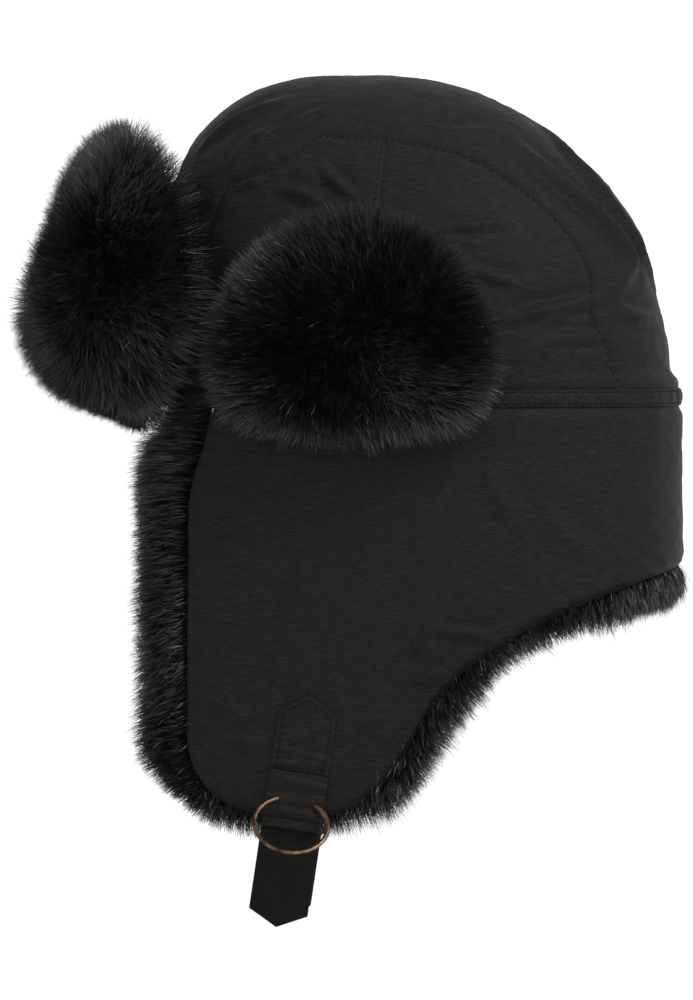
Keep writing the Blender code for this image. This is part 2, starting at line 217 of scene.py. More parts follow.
def mesh_object(name, verts, faces):
    """Object from arrays of points and of equally long faces."""
    verts, faces = np.asarray(verts, float).reshape(-1, 3), np.asarray(faces, np.int32)
    mesh = bpy.data.meshes.new(name)
    mesh.vertices.add(len(verts))
    mesh.vertices.foreach_set("co", verts.astype(np.float32).ravel())
    corners = faces.shape[1]
    mesh.loops.add(faces.size)
    mesh.loops.foreach_set("vertex_index", faces.ravel())
    mesh.polygons.add(len(faces))
    mesh.polygons.foreach_set("loop_start", np.arange(0, faces.size, corners, dtype=np.int32))
    mesh.update(calc_edges=True)
    mesh.validate()
    mesh.shade_smooth()
    obj = bpy.data.objects.new(name, mesh)
    bpy.context.scene.collection.objects.link(obj)
    return obj


def grid_faces(rows, columns, closed=False):
    """Quads of a grid of points stored row by row; closed joins the last column to the first."""
    r, c = np.meshgrid(np.arange(rows - 1), np.arange(columns if closed else columns - 1), indexing="ij")
    nxt = (c + 1) % columns
    quads = np.stack([r * columns + c, r * columns + nxt, (r + 1) * columns + nxt, (r + 1) * columns + c], -1)
    return quads.reshape(-1, 4)


def grid_normals(points):
    """Unit normals of a grid of points, from its rows and columns."""
    across = np.gradient(points, axis=1)
    along = np.gradient(points, axis=0)
    normal = np.cross(across, along)
    return normal / np.maximum(np.linalg.norm(normal, axis=-1, keepdims=True), 1e-12)


def fbm(points, scale, octaves=3, seed=0.0):
    """Perlin noise at points, from about -1 to 1; scale is a number or one per axis."""
    flat = points.reshape(-1, 3) * np.asarray(scale, float) + seed
    total, size, gain = np.zeros(len(flat)), 1.0, 1.0
    for _ in range(octaves):
        values = np.fromiter((noise.noise(p) for p in (flat * size).tolist()), float, len(flat))
        total += gain * values
        size, gain = size * 2.07, gain * 0.5
    return total.reshape(points.shape[:-1])


# ---- materials

def new_material(name, roughness=0.5, specular=0.5):
    """Material with nodes, and its shader."""
    mat = bpy.data.materials.new(name)
    mat.use_nodes = True
    shader = mat.node_tree.nodes["Principled BSDF"]
    shader.inputs["Roughness"].default_value = roughness
    shader.inputs["Specular IOR Level"].default_value = specular
    return mat, shader


def add_node(mat, kind, **inputs):
    """Node with some inputs set; an underscore in an input's name stands for a space."""
    node = mat.node_tree.nodes.new("ShaderNode" + kind)
    for name, value in inputs.items():
        node.inputs[name.replace("_", " ")].default_value = value
    return node


def pattern(mat, kind, scale, **inputs):
    """Texture in the object's own space; three scales stretch it along the axes."""
    links = mat.node_tree.links
    place = add_node(mat, "TexCoord").outputs["Object"]
    if isinstance(scale, tuple):
        mapping = add_node(mat, "Mapping", Scale=scale)
        links.new(place, mapping.inputs["Vector"])
        place, scale = mapping.outputs["Vector"], 1.0
    texture = add_node(mat, kind, Scale=scale, **inputs)
    links.new(place, texture.inputs["Vector"])
    return texture.outputs["Fac"]


def tone(mat, shader, value, low, high, start=0.0, end=1.0):
    """Colour that goes from low to high as the value goes from start to end."""
    ramp = add_node(mat, "ValToRGB")
    for stop, position, color in zip(ramp.color_ramp.elements, (start, end), (low, high)):
        stop.position = position
        stop.color = (*color, 1)
    mat.node_tree.links.new(value, ramp.inputs["Fac"])
    mat.node_tree.links.new(ramp.outputs["Color"], shader.inputs["Base Color"])


def bump(mat, shader, height, distance, strength=1.0, under=None):
    """Bump on the shader's normal, over a finer bump if one is given."""
    links = mat.node_tree.links
    node = add_node(mat, "Bump", Strength=strength, Distance=distance)
    links.new(height, node.inputs["Height"])
    if under is not None:
        links.new(under, node.inputs["Normal"])
    links.new(node.outputs["Normal"], shader.inputs["Normal"])
    return node.outputs["Normal"]


def shell_material(name, tint):
    """Black crinkled polyamide: fine slubs across the cloth, crinkle bump and a faint sheen."""
    mat, shader = new_material(name, 0.62, 0.05)
    shader.inputs["Sheen Weight"].default_value = 0.01
    shader.inputs["Sheen Roughness"].default_value = 0.5
    slub = pattern(mat, "TexNoise", (260, 260, 2600), Detail=3.0)
    crinkles = pattern(mat, "TexNoise", (110, 110, 420), Detail=4.0, Distortion=0.6)
    tone(mat, shader, slub, [c * 0.55 for c in tint], [c * 1.6 for c in tint], 0.3, 0.75)
    fine = bump(mat, shader, slub, 0.2 * MM, 0.6)
    bump(mat, shader, crinkles, 0.6 * MM, 0.6, fine)
    return mat


def fur_material(name):
    """Black faux fur: each hair a little lighter or darker, glossy along its length."""
    mat, shader = new_material(name, 0.40, 0.45)
    patches = pattern(mat, "TexNoise", 420, Detail=2.0)
    tone(mat, shader, patches, (0.0012, 0.0012, 0.00114), (0.0075, 0.0075, 0.00705), 0.35, 0.7)
    return mat


def undercoat_material(name):
    """Dense short underfur beneath the guard hairs."""
    mat, shader = new_material(name, 0.8, 0.15)
    tufts = pattern(mat, "TexNoise", 900, Detail=4.0)
    tone(mat, shader, tufts, (0.0012, 0.0012, 0.0012), (0.0055, 0.0055, 0.0052))
    bump(mat, shader, tufts, 1 * MM)
    return mat


def thread_material(name):
    """Black twisted sewing thread."""
    mat, shader = new_material(name, 0.7, 0.1)
    twist = pattern(mat, "TexWave", 1800, Distortion=1.0)
    tone(mat, shader, twist, (0.0008, 0.0008, 0.0008), (0.0035, 0.0035, 0.0032))
    return mat


def lining_material(name):
    """Black satin lining with a fine diagonal twill."""
    mat, shader = new_material(name, 0.35)
    twill = pattern(mat, "TexWave", 900, Distortion=0.8)
    twill.node.bands_direction = "DIAGONAL"
    tone(mat, shader, twill, (0.008, 0.008, 0.009), (0.016, 0.016, 0.018))
    bump(mat, shader, twill, 0.1 * MM)
    return mat


def metal_material(name):
    """Antique copper plate, darker in random patches and worn brighter and smoother elsewhere."""
    mat, shader = new_material(name)
    shader.inputs["Metallic"].default_value = 1.0
    wear = pattern(mat, "TexNoise", 260, Detail=5.0)
    tone(mat, shader, wear, (0.030, 0.018, 0.012), (0.13, 0.085, 0.055), 0.35, 0.72)
    rough = add_node(mat, "MapRange", To_Min=0.5, To_Max=0.28)
    mat.node_tree.links.new(wear, rough.inputs["Value"])
    mat.node_tree.links.new(rough.outputs["Result"], shader.inputs["Roughness"])
    bump(mat, shader, wear, 0.1 * MM, 0.3)
    return mat


def wadding_material(name):
    """White polyester wadding."""
    mat, shader = new_material(name, 0.95)
    fibres = pattern(mat, "TexNoise", 700)
    tone(mat, shader, fibres, (0.55, 0.55, 0.52), (0.82, 0.82, 0.8))
    return mat


SHELL = shell_material("taslan_shell", (0.0068, 0.0065, 0.0057))
STRAP_CLOTH = shell_material("taslan_strap", (0.0034, 0.0031, 0.0023))
FUR = fur_material("fur_guard_hair")
UNDERCOAT = undercoat_material("fur_undercoat")
THREAD = thread_material("black_thread")
LINING = lining_material("satin_lining")
METAL = metal_material("antique_copper")
WADDING = wadding_material("wadding")


def dress(obj, mat):
    """Give an object its material."""
    obj.data.materials.clear()
    obj.data.materials.append(mat)
    return obj


# ---- crown seams

def strip_half(y, z):
    """Half width of the centre strip; it wanders where the cloth is rucked at the back."""
    ruck = 0.0038 * bell(z - 0.034, 0.011) * ease((y - 0.03) / 0.03)
    front = -0.0030 * bell(y + 0.083, 0.006) + 0.0025 * bell(y + 0.060, 0.010)
    front = front - 0.0030 * bell(y + 0.041, 0.007)
    return STRIP_HALF + STRIP_FLARE * y + ruck + front * (z > 0.05)


def strip_seam(base_z, count):
    """Seam between the centre strip and the left side panels, from the front to the back."""
    pitch = np.linspace(-0.35, math.pi + 0.35, 900)

    def place(reach):
        y, z = DOME_CENTER[1] - reach * np.cos(pitch), reach * np.sin(pitch)
        return np.stack([strip_half(y, z), y, z], -1)

    near, far = np.full(len(pitch), 0.02), np.full(len(pitch), 0.30)
    points = place(bisect(near, far, lambda reach: fullness(place(reach)) > 1))
    points = points[points[:, 2] > base_z]
    points[[0, -1], 2] = base_z
    return resample(points, count)


def side_seam_y(z):
    """Y of the slanting side seam at height z."""
    return SIDE_SEAM_Y + (z - SIDE_SEAM_Z) * SIDE_SEAM_SLANT


BASE_Z = BAND_HIGH + 0.3 * MM
SEAM_LEFT = strip_seam(BASE_Z, 400)
SEAM_INDEX = int(np.argmin(np.abs(SEAM_LEFT[:, 1] - side_seam_y(SEAM_LEFT[:, 2]))
                           + 10 * (SEAM_LEFT[:, 2] < 0.05)))


def base_angle(y):
    """Outline angle on the wearer's left at the crown's base, for a given y."""
    centre, length, _, power = section(BASE_Z)
    share = (y - centre) / length
    return math.asin(float(np.sign(share) * min(abs(share), 1.0) ** (power / 2)))


def panel_patch(part, rows, columns):
    """Grid over one crown panel on the wearer's left; rows go up from the base."""
    front = part == "front"
    seam = SEAM_LEFT[:SEAM_INDEX + 1] if front else SEAM_LEFT[SEAM_INDEX:]
    outer, inner = (0, -1) if front else (-1, 0)
    ends = [base_angle(seam[outer][1]), base_angle(side_seam_y(BASE_Z))]
    top = resample(seam, columns)
    bottom = outline(np.linspace(*(ends if front else ends[::-1]), columns), BASE_Z)
    bottom[outer] = top[outer]
    v = np.linspace(0, 1, rows)[:, None, None]
    grid = on_dome(bottom[None] * (1 - v) + top[None] * v)
    heights = grid[..., 2:3].copy()
    line = grid[:, inner].copy()
    line[:, 1] = side_seam_y(line[:, 2])
    line[:, 0] = side_x(line[:, 1], line[:, 2])
    fade = np.linspace(0, 1, columns) if front else np.linspace(1, 0, columns)
    grid = grid + (line - grid[:, inner])[:, None] * fade[None, :, None] ** 2
    grid[..., 2:3] = heights
    return grid


def strip_patch(rows, columns):
    """Grid over the centre strip; rows go from front to back, columns from right to left."""
    left = resample(SEAM_LEFT, rows)
    u = np.linspace(-1, 1, columns)[None, :]
    flat = np.repeat(left[:, None, :], columns, 1)
    flat[..., 0] = left[:, None, 0] * u
    bulge = np.sqrt(np.clip(1 - 0.5 * u * u, 0, 1))
    flat[..., 1] = DOME_CENTER[1] + (left[:, None, 1] - DOME_CENTER[1]) * bulge / bulge[0, 0]
    flat[..., 2] = left[:, None, 2] * bulge / bulge[0, 0]
    flat[0, :, 2] = flat[-1, :, 2] = BASE_Z
    grid = on_dome(flat)
    grid[0, :, 2] = grid[-1, :, 2] = BASE_Z
    return grid


# ---- cloth relief

PUCKER_PITCH, PUCKER_REACH = 9 * MM, 13 * MM


def search_tree(points):
    """Tree that finds the nearest of some points."""
    tree = kdtree.KDTree(len(points))
    for index, place in enumerate(points.tolist()):
        tree.insert(place, index)
    tree.balance()
    return tree


def distance_to(points, line):
    """Distance from each point to the nearest point of a line, and that point's index."""
    tree = search_tree(line)
    found = [tree.find(p)[1:] for p in points.reshape(-1, 3).tolist()]
    index, distance = np.array(found).T.reshape(2, *points.shape[:-1])
    return distance, index.astype(int)


def seam_relief(points, line, depth, width, seed):
    """Groove along a seam, with puckers running away from it that fade out."""
    line = resample(line, len(line))
    distance, index = distance_to(points, line)
    along = travelled(line)[index]
    groove = -depth * bell(distance, width)
    wander = fbm(np.stack([along / PUCKER_PITCH, along * 0 + seed, along * 0], -1), 0.45, 2)
    ripple = np.sin(TAU * along / PUCKER_PITCH + 9 * wander) * np.exp(-distance / PUCKER_REACH)
    ripple *= 1 - bell(distance, 2.5 * MM)
    swell = fbm(np.stack([along, along * 0 + seed + 3.0, along * 0], -1), 38.0, 2)
    return groove + ripple * (0.15 + 0.42 * swell) * MM


def crease(points, path, height, width):
    """A soft fold along a path: a raised ridge with a hollow on each side."""
    line = resample(path, 60)
    distance, index = distance_to(points, line)
    taper = np.sin(np.pi * index / (len(line) - 1))
    ridge = bell(distance, width)
    hollow = bell(distance - 1.7 * width, width)
    return height * taper * (ridge - 0.45 * hollow)


def side_path(stops):
    """Path on the wearer's left from (y, z) stops, lying on the hat's surface."""
    stops = np.array(stops, float) * MM
    x = side_x(stops[:, 0], stops[:, 1])
    return np.stack([x, stops[:, 0], stops[:, 1]], -1)


def folds(points, table, gain, far_gain):
    """Relief of a table of folds on the wearer's left, and of its mirror image on the right."""
    relief = np.zeros(points.shape[:-1])
    for stops, height, width in table:
        for side, share in ((1, gain), (-1, far_gain)):
            path = side_path(stops) * (side, 1, 1)
            relief += crease(points, path, share * height * MM, width * MM)
    return relief


def crinkle(points):
    """Irregular small folds of a crisp cloth, running mostly across."""
    broad = fbm(points, (16, 16, 26), 2)
    ridged = 1 - 2 * np.abs(fbm(points, (34, 34, 78), 3, 7.3))
    fine = 1 - 2 * np.abs(fbm(points, (90, 90, 210), 2, 3.1))
    return (1.1 * broad + 0.36 * ridged ** 3 + 0.10 * fine) * MM


# ---- crown

# Depth of each layer inside the crown's outline
LINING_INSET, WADDING_INSET, SWEATBAND_INSET, ELASTIC_INSET = 5.4 * MM, 3.0 * MM, 7.4 * MM, 2.9 * MM

SEAM_LINE_Z = np.linspace(SEAM_LEFT[SEAM_INDEX][2], BASE_Z, 80)
SIDE_SEAM = np.stack([side_x(side_seam_y(SEAM_LINE_Z), SEAM_LINE_Z), side_seam_y(SEAM_LINE_Z),
                      SEAM_LINE_Z], -1)

# Folds of the crown's cloth: stops as (y, z) in millimetres on the wearer's left, height and width
CROWN_FOLDS = [
    (((-82, 98), (-72, 111), (-60, 118)), 1.6, 2.6),
    (((-74, 102), (-66, 111), (-50, 120), (-37, 125)), 1.8, 2.4),
    (((-96, 104), (-78, 119), (-52, 130)), 1.9, 3.2),
    (((-43, 101), (-37, 94), (-26, 85)), 1.8, 2.4),
    (((-62, 90), (-50, 88), (-39, 82)), 1.6, 2.4),
    (((-79, 89), (-72, 93), (-65, 93)), 1.1, 2.2),
    (((-1, 71), (15, 72), (42, 76)), 1.6, 2.2),
    (((4, 67), (14, 68), (26, 67)), 1.1, 2.4),
    (((22, 55), (32, 52), (43, 49)), 1.4, 2.6),
    (((36, 33), (54, 37), (80, 43)), 2.6, 2.8),
    (((50, 30), (58, 33), (66, 36)), 1.2, 2.2),
    (((54, 25), (70, 26), (84, 27)), 1.4, 2.4),
    (((38, 112), (54, 100), (69, 87), (86, 70), (93, 58), (83, 44)), 3.2, 4.0),
    (((50, 119), (64, 106), (78, 90), (97, 62), (103, 47)), 2.4, 3.6),
    (((1, 118), (13, 114), (38, 114)), 1.2, 3.0),
    (((84, 40), (94, 34), (104, 33)), 1.9, 3.0),
]


def crown_relief(points):
    """All the relief of the crown's cloth, as distance moved out along the normal."""
    relief = crinkle(points) + folds(points, CROWN_FOLDS, 1.35, 1.1)
    for number, side in enumerate((1, -1)):
        relief += seam_relief(points, SEAM_LEFT * (side, 1, 1), 1.5 * MM, 1.6 * MM, number * 5.0)
        relief += seam_relief(points, SIDE_SEAM * (side, 1, 1), 0.8 * MM, 0.9 * MM, 20.0 + number)
    above = points[..., 2] - BASE_Z
    near_base = bell(above, 3 * MM)
    puff = 0.3 * MM * (1 - bell(above, 9 * MM))
    return relief * (1 - 0.8 * near_base) + puff - 1.0 * MM * near_base


def relieved(grid, relief, flip=False):
    """Grid moved out along its normals by the relief at each point."""
    normals = grid_normals(grid) * (-1 if flip else 1)
    return grid + normals * relief(grid)[..., None]


def cloth_sheet(name, grid, mat, nodes, body=None, flip=False, closed=False):
    """Stretched sheet of cloth from a grid of points, in place of nodes."""
    faces = grid_faces(*grid.shape[:2], closed)
    obj = mesh_object(name, grid, faces[:, ::-1] if flip else faces)
    dress(obj, mat)
    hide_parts(*nodes)
    if body:
        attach(obj, body)
    return obj


def crown():
    """Centre strip and four side panels of the crown."""
    pieces = [cloth_sheet("crown_strip_cloth", relieved(strip_patch(260, 96), crown_relief), SHELL,
                          ["crown_center_panel"], "crown")]
    for part in ("front", "back"):
        grid = panel_patch(part, 84, 90)
        for side_name, side in SIDES:
            points = relieved(grid * (side, 1, 1), crown_relief, side < 0)
            pieces.append(cloth_sheet(f"crown_{part}_cloth_{side_name}", points, SHELL,
                                      [f"crown_side_{part}_{side_name}"], "crown",
                                      flip=side < 0))
    return pieces


def hoop_grid(low, high, inset, rows, columns):
    """Grid round the whole head between two heights, closed at the wearer's left."""
    heights = np.linspace(low, high, rows)
    fine = np.linspace(0, TAU, 4001)
    lines = [resample(outline(fine, z, inset), columns + 1)[:-1] for z in heights]
    return np.stack(lines)


def closed_normals(grid):
    """Normals of a grid that closes on itself along its columns."""
    wide = np.concatenate([grid[:, -3:], grid, grid[:, :3]], 1)
    return grid_normals(wide)[:, 3:-3]


def band():
    """Narrow stitched band: two rows of stitches with the cloth puckered between them."""
    grid = hoop_grid(BAND_LOW - 0.3 * MM, BAND_HIGH + 0.3 * MM, -0.4 * MM, 17, 640)
    v = np.linspace(0, 1, 17)[:, None]
    profile = 0.35 * MM * np.sin(np.pi * v)
    for row in (0.16, 0.84):
        profile = profile - 0.45 * MM * bell(v - row, 0.07)
    profile = profile - 0.7 * MM * (bell(v, 0.05) + bell(1 - v, 0.05))
    pucker = fbm(grid, (105, 105, 30), 2, 11.0) * 0.55 * MM * np.sin(np.pi * v)
    back = ease((grid[..., 1] - 0.02) / 0.06)
    relief = profile + pucker * (1 + 1.2 * back)
    return cloth_sheet("crown_band_cloth", grid + closed_normals(grid) * relief[..., None], SHELL,
                       ["crown_band"], "crown", closed=True)


def close_top(obj, ring, cap):
    """Close a dome's open top with a fan of triangles from its last ring to one point."""
    bm = bmesh.new()
    bm.from_mesh(obj.data)
    bm.verts.ensure_lookup_table()
    for a, b in zip(ring, np.roll(ring, -1)):
        bm.faces.new((bm.verts[int(a)], bm.verts[int(b)], bm.verts[cap]))
    bm.to_mesh(obj.data)
    bm.free()
    obj.data.shade_smooth()


def dome_layer(name, inset, node, mat, quilt):
    """Quilted layer inside the crown, closed at the top."""
    rings, columns = 70, 240
    rise = np.sin(np.linspace(0, math.pi / 2 * 0.985, rings))
    top = CROWN_TOP - 5.2 * MM
    heights = -3 * MM + (top + 3 * MM) * rise
    fine = np.linspace(0, TAU, 2001)
    limit = (CROWN_TOP - inset) * 0.9995
    grid = np.stack([resample(outline(fine, min(z, limit), inset), columns + 1)[:-1]
                     for z in heights * (CROWN_TOP - inset) / top])
    angle = np.arctan2(grid[..., 1], grid[..., 0])
    lines = np.abs(np.sin(6 * angle)) ** 0.35 * np.abs(np.sin(grid[..., 2] * TAU / 0.052)) ** 0.35
    relief = quilt * (1.4 * lines - 1.2 + 0.3 * fbm(grid, 60, 2, 4.0)) * MM
    points = grid - closed_normals(grid) * relief[..., None]
    verts = np.concatenate([points.reshape(-1, 3), points[-1].mean(0, keepdims=True)])
    obj = mesh_object(name, verts, grid_faces(rings, columns, True))
    close_top(obj, (rings - 1) * columns + np.arange(columns), rings * columns)
    dress(obj, mat)
    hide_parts(node)
    return obj


def inside():
    """Quilted lining, wadding, sweatband and elastic of the crown."""
    lining = dome_layer("crown_lining_cloth", LINING_INSET, "crown_lining", LINING, 1.0)
    filler = dome_layer("crown_wadding_pad", WADDING_INSET, "crown_wadding", WADDING, 0.4)
    for piece in (lining, filler):
        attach(piece, "crown")
    grid = hoop_grid(-3 * MM, 22 * MM, SWEATBAND_INSET, 16, 360)
    wave = 0.35 * MM * fbm(grid, (70, 70, 20), 2, 9.0)
    cloth_sheet("sweatband_cloth", grid - closed_normals(grid) * wave[..., None], LINING,
                ["sweatband"], "crown", closed=True)
    columns = 241
    angles = np.linspace(math.radians(50), math.radians(130), columns)
    grid = outline(angles[None, :], np.linspace(-3.0, 2.0, 6)[:, None] * MM, ELASTIC_INSET)
    rib = 0.25 * MM * np.sin(np.arange(columns) * TAU / 4)[None, :]
    cloth_sheet("band_elastic_ribbed", grid + grid_normals(grid) * rib[..., None], LINING,
                ["band_elastic"], "crown")


# ---- lower section


def lower_angle(u, z, inset=0.0, trim=0.0):
    """Outline angle at share u of the lower section, from its front edge on the wearer's left."""
    start = edge_angle(z, inset, trim)
    return start + (math.pi - 2 * start) * u


def even_shares(columns):
    """Shares u of the lower outline's left half that are evenly spaced round the head."""
    fine = np.linspace(0, 0.5, 4001)
    line = outline(lower_angle(fine, -0.05), -0.05)
    along = travelled(line)
    return np.interp(np.linspace(0, along[-1], columns), along, fine)


def lower_grid(columns, rows, inset=0.0, trim_front=0.0, trim_hem=0.0, top=-3.6 * MM):
    """Grid over the left half of the lower section; rows go up from the hem."""
    u = even_shares(columns)[None, :]
    reference = outline(lower_angle(u, FLAP_CORNER_Z, inset, trim_front), FLAP_CORNER_Z, inset)
    hem = hem_z(reference[..., 1], trim_front, trim_hem * hem_share(reference[..., 1]))
    v = np.linspace(0, 1, rows)[:, None]
    z = hem + (top - hem) * v
    return outline(lower_angle(u, z, inset, trim_front), z, inset)


def hem_share(y):
    """How much of the fur trim shows past the hem: most where the ear flap runs up to the nape."""
    behind_ear = ease((y + 0.030) / 0.025) * (1 - ease((y - 0.004) / 0.028))
    return 0.15 + 1.75 * behind_ear + 0.2 * ease(y / 0.03) + 0.5 * ease((y - 0.060) / 0.025)


def hem_outward(y):
    """Unit direction out of the hem at y, in the plane of the side."""
    step = 1 * MM
    slope = np.clip((hem_z(y + step) - hem_z(y - step)) / (2 * step), -4, 4)
    return unit(np.stack([0 * y, slope, -1 + 0 * y], -1))


def edge_distance(points):
    """Distance in from the shell's front edge and hem, positive inside the shell."""
    y, z = points[..., 1], points[..., 2]
    edge_y = SHELL_EDGE_Y - EDGE_SWEEP * ease(-z / EDGE_SWEEP_DEPTH)
    slope = np.abs(np.gradient(HEM_CURVE[:, 1], HEM_CURVE[:, 0]))
    steep = np.interp(y, HEM_CURVE[:, 0], slope)
    below = (z - hem_z(y)) / np.sqrt(1 + np.minimum(steep, 3.0) ** 2)
    return np.minimum(y - edge_y, below)


# Folds of the lower section's cloth, in the same form as the crown's
LOWER_FOLDS = [
    (((6, -100), (20, -102), (35, -103)), 1.3, 2.2),
    (((-10, -104), (0, -107), (10, -109)), 1.0, 2.2),
    (((-4, -120), (4, -121), (13, -119)), 1.2, 2.4),
    (((16, -106), (6, -112), (-4, -122)), 0.9, 3.0),
    (((50, -46), (66, -62), (78, -70)), 0.7, 4.5),
    (((28, -30), (40, -48), (48, -62)), 0.7, 5.0),
    (((-91, -53), (-80, -55), (-68, -65)), 0.9, 2.0),
    (((-93, -62), (-86, -64), (-79, -64)), 0.8, 2.4),
    (((-90, -130), (-80, -136), (-66, -138)), 0.8, 3.0),
    (((-86, -146), (-76, -150), (-64, -148)), 0.9, 2.6),
    (((-30, -160), (-16, -148), (-4, -136)), 1.0, 3.0),
]


def lower_relief(points, inward):
    """Relief of the lower cloth: soft waves, crinkles, and puckers along its sewn edges."""
    broad = fbm(points, (15, 15, 11), 2, 31.0)
    fine = fbm(points, (30, 30, 60), 3, 17.0)
    relief = (0.8 * broad + 0.30 * (1 - 2 * np.abs(fine)) ** 3) * MM + folds(points, LOWER_FOLDS, 1.4, 1.4)
    along = points[..., 1] * 0.6 + points[..., 2]
    ripple = np.sin(TAU * along / (9 * MM) + 4 * fbm(points, 40, 1, 2.0)) * np.exp(-inward / (9 * MM))
    relief += 0.35 * MM * ripple * ease(inward / (2 * MM))
    below = points[..., 2] - BAND_LOW
    near_band = bell(below, 3 * MM)
    ripple = np.sin(TAU * points[..., 1] / (10 * MM) + 3 * fbm(points, 30, 1, 6.0))
    relief += (0.5 * ripple * np.exp(-np.abs(below) / (10 * MM)) + 0.8) * MM
    roll = 2.4 * MM * bell(inward, 2.0 * MM)
    return relief * (1 - near_band) - roll - 0.8 * MM * near_band


def bend_with_flap(obj):
    """Bake a lower piece's placement into its mesh; it is not bent along the ear flap's fold, which runs
    lower towards the nape.
    """
    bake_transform(obj)


def lower_shell():
    """Two halves of the lower section's shell, meeting at the centre back."""
    rows, columns = 130, 190
    grid = lower_grid(columns, rows)
    steps = np.linalg.norm(np.diff(grid, axis=1), axis=-1)
    from_front = np.concatenate([np.zeros((rows, 1)), np.cumsum(steps, 1)], 1)
    from_hem = (grid[..., 2] - grid[:1, :, 2]) * 0.8
    inward = np.minimum(from_front, from_hem)
    for side_name, side in SIDES:
        points = relieved(grid * (side, 1, 1), lambda p: lower_relief(p, inward), side < 0)
        points[:, -1, 0] = 0.0
        shell = cloth_sheet(f"lower_shell_cloth_{side_name}", points, SHELL,
                            [f"ear_flap_shell_{side_name}", "neck_shell"], flip=side < 0)
        bend_with_flap(shell)


# ---- fur

HAIR_WIDTH, TUFT_HAIRS, STRAY_SHARE = 0.30 * MM, 8, 0.12
LOBE_HAIRS, VISOR_HAIRS, LOWER_HAIRS = 24000, 52000, 44000
# Mean and spread of each pile's length, in millimetres
LOBE_PILE, VISOR_PILE, LOWER_PILE = (15.5, 2.2), (16.0, 2.2), (12.0, 2.0)


def unit(vectors):
    """Vectors scaled to length 1."""
    return vectors / np.maximum(np.linalg.norm(vectors, axis=-1, keepdims=True), 1e-12)


def cushion(name, outer, inner, mat, nodes, flip=False):
    """Closed pad between two grids of points, in place of nodes."""
    rows, columns = outer.shape[:2]
    faces = grid_faces(rows, columns)
    size = rows * columns
    index = np.arange(size).reshape(rows, columns)
    rim = np.concatenate([index[0, :-1], index[:-1, -1], index[-1, :0:-1], index[:0:-1, 0]])
    after = np.roll(rim, -1)
    walls = np.stack([after, rim, rim + size, after + size], -1)
    every = np.concatenate([faces, faces[:, ::-1] + size, walls])
    obj = mesh_object(name, np.concatenate([outer.reshape(-1, 3), inner.reshape(-1, 3)]),
                      every[:, ::-1] if flip else every)
    dress(obj, mat)
    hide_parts(*nodes)
    return obj


def read_all(items, attribute, kind=np.float32):
    """One triple for each item of a mesh collection, as rows of an array."""
    values = np.empty(len(items) * 3, kind)
    items.foreach_get(attribute, values)
    return values.reshape(-1, 3)


def scatter(obj, count, density, rng):
    """Random points on a mesh with their normals; density gives a weight for each vertex."""
    mesh = obj.data
    places = read_all(mesh.vertices, "co").astype(float)
    normals = read_all(mesh.vertex_normals, "vector").astype(float)
    mesh.calc_loop_triangles()
    tris = read_all(mesh.loop_triangles, "vertices", np.int32)
    a, b, c = (places[tris[:, k]] for k in range(3))
    weight = np.linalg.norm(np.cross(b - a, c - a), axis=1) * density(places, normals)[tris].mean(1)
    chosen = rng.choice(len(tris), count, p=weight / weight.sum())
    r, s = rng.random(count), rng.random(count)
    over = r + s > 1
    r[over], s[over] = 1 - r[over], 1 - s[over]
    share = np.stack([1 - r - s, r, s], -1)[..., None]
    return (places[tris[chosen]] * share).sum(1), unit((normals[tris[chosen]] * share).sum(1))


def strands(name, roots, normals, lengths, lean, rng):
    """Ribbon hairs from the roots: they leave along the normals, lean over and gather in tufts."""
    count, steps = len(roots), 4
    rough = rng.normal(0, 0.13, (count, 3))
    first = unit(normals + 0.25 * lean + rough)
    last = unit(0.45 * normals + lean + 1.6 * rough)
    t = np.linspace(0, 1, steps)[None, :, None]
    path = roots[:, None] + lengths[:, None, None] * (first[:, None] * (t - 0.5 * t * t)
                                                      + last[:, None] * 0.5 * t * t)
    seeds = rng.choice(count, max(1, count // TUFT_HAIRS), replace=False)
    tree = search_tree(roots[seeds])
    nearest = seeds[np.array([tree.find(p)[1] for p in roots.tolist()])]
    pull = rng.uniform(0.15, 0.60, (count, 1, 1)) * (rng.random((count, 1, 1)) > STRAY_SHARE)
    path = path + (path[nearest] - path) * pull * t ** 1.4
    wave = rng.normal(0, 0.35 * MM, (count, 1, 3)) * np.sin(t * math.pi)
    path = path + wave
    tangent = unit(np.gradient(path, axis=1))
    across = unit(np.cross(tangent, rng.normal(0, 1, (count, 1, 3))))
    half = HAIR_WIDTH / 2 * rng.uniform(0.65, 1.25, (count, 1, 1)) * (1 - 0.8 * t ** 1.5)
    pairs = np.stack([path - across * half, path + across * half], 2)
    quad = np.array([0, 1, 3, 2])
    faces = (np.arange(count)[:, None, None] * steps * 2 + np.arange(steps - 1)[None, :, None] * 2 + quad)
    return dress(mesh_object(name, pairs, faces.reshape(-1, 4)), FUR)


def swirl(places, scale):
    """Smooth random directions, so that the pile lies one way here and another there."""
    return np.stack([fbm(places, scale, 1, seed) for seed in (1.7, 23.1, 51.9)], -1) * 2.2


LOBE_CENTER, LOBE_REACH, LOBE_UP, LOBE_DOWN = (-0.028, 0.018), 0.053, 0.053, 0.027
LOBE_STANDOFF, LOBE_LEAN = 7.2 * MM, 0.06
VISOR_CENTER_Z, VISOR_HALF_HEIGHT, VISOR_DEPTH = 0.0505, 0.0565, 0.050
VISOR_LEAN_Z, VISOR_LEAN, VISOR_TUCK_Z, VISOR_TUCK = 0.040, 0.34, 0.030, 22.0
VISOR_SPREAD, VISOR_HALF, VISOR_AXIS_Y = math.radians(82), 0.072, -0.095


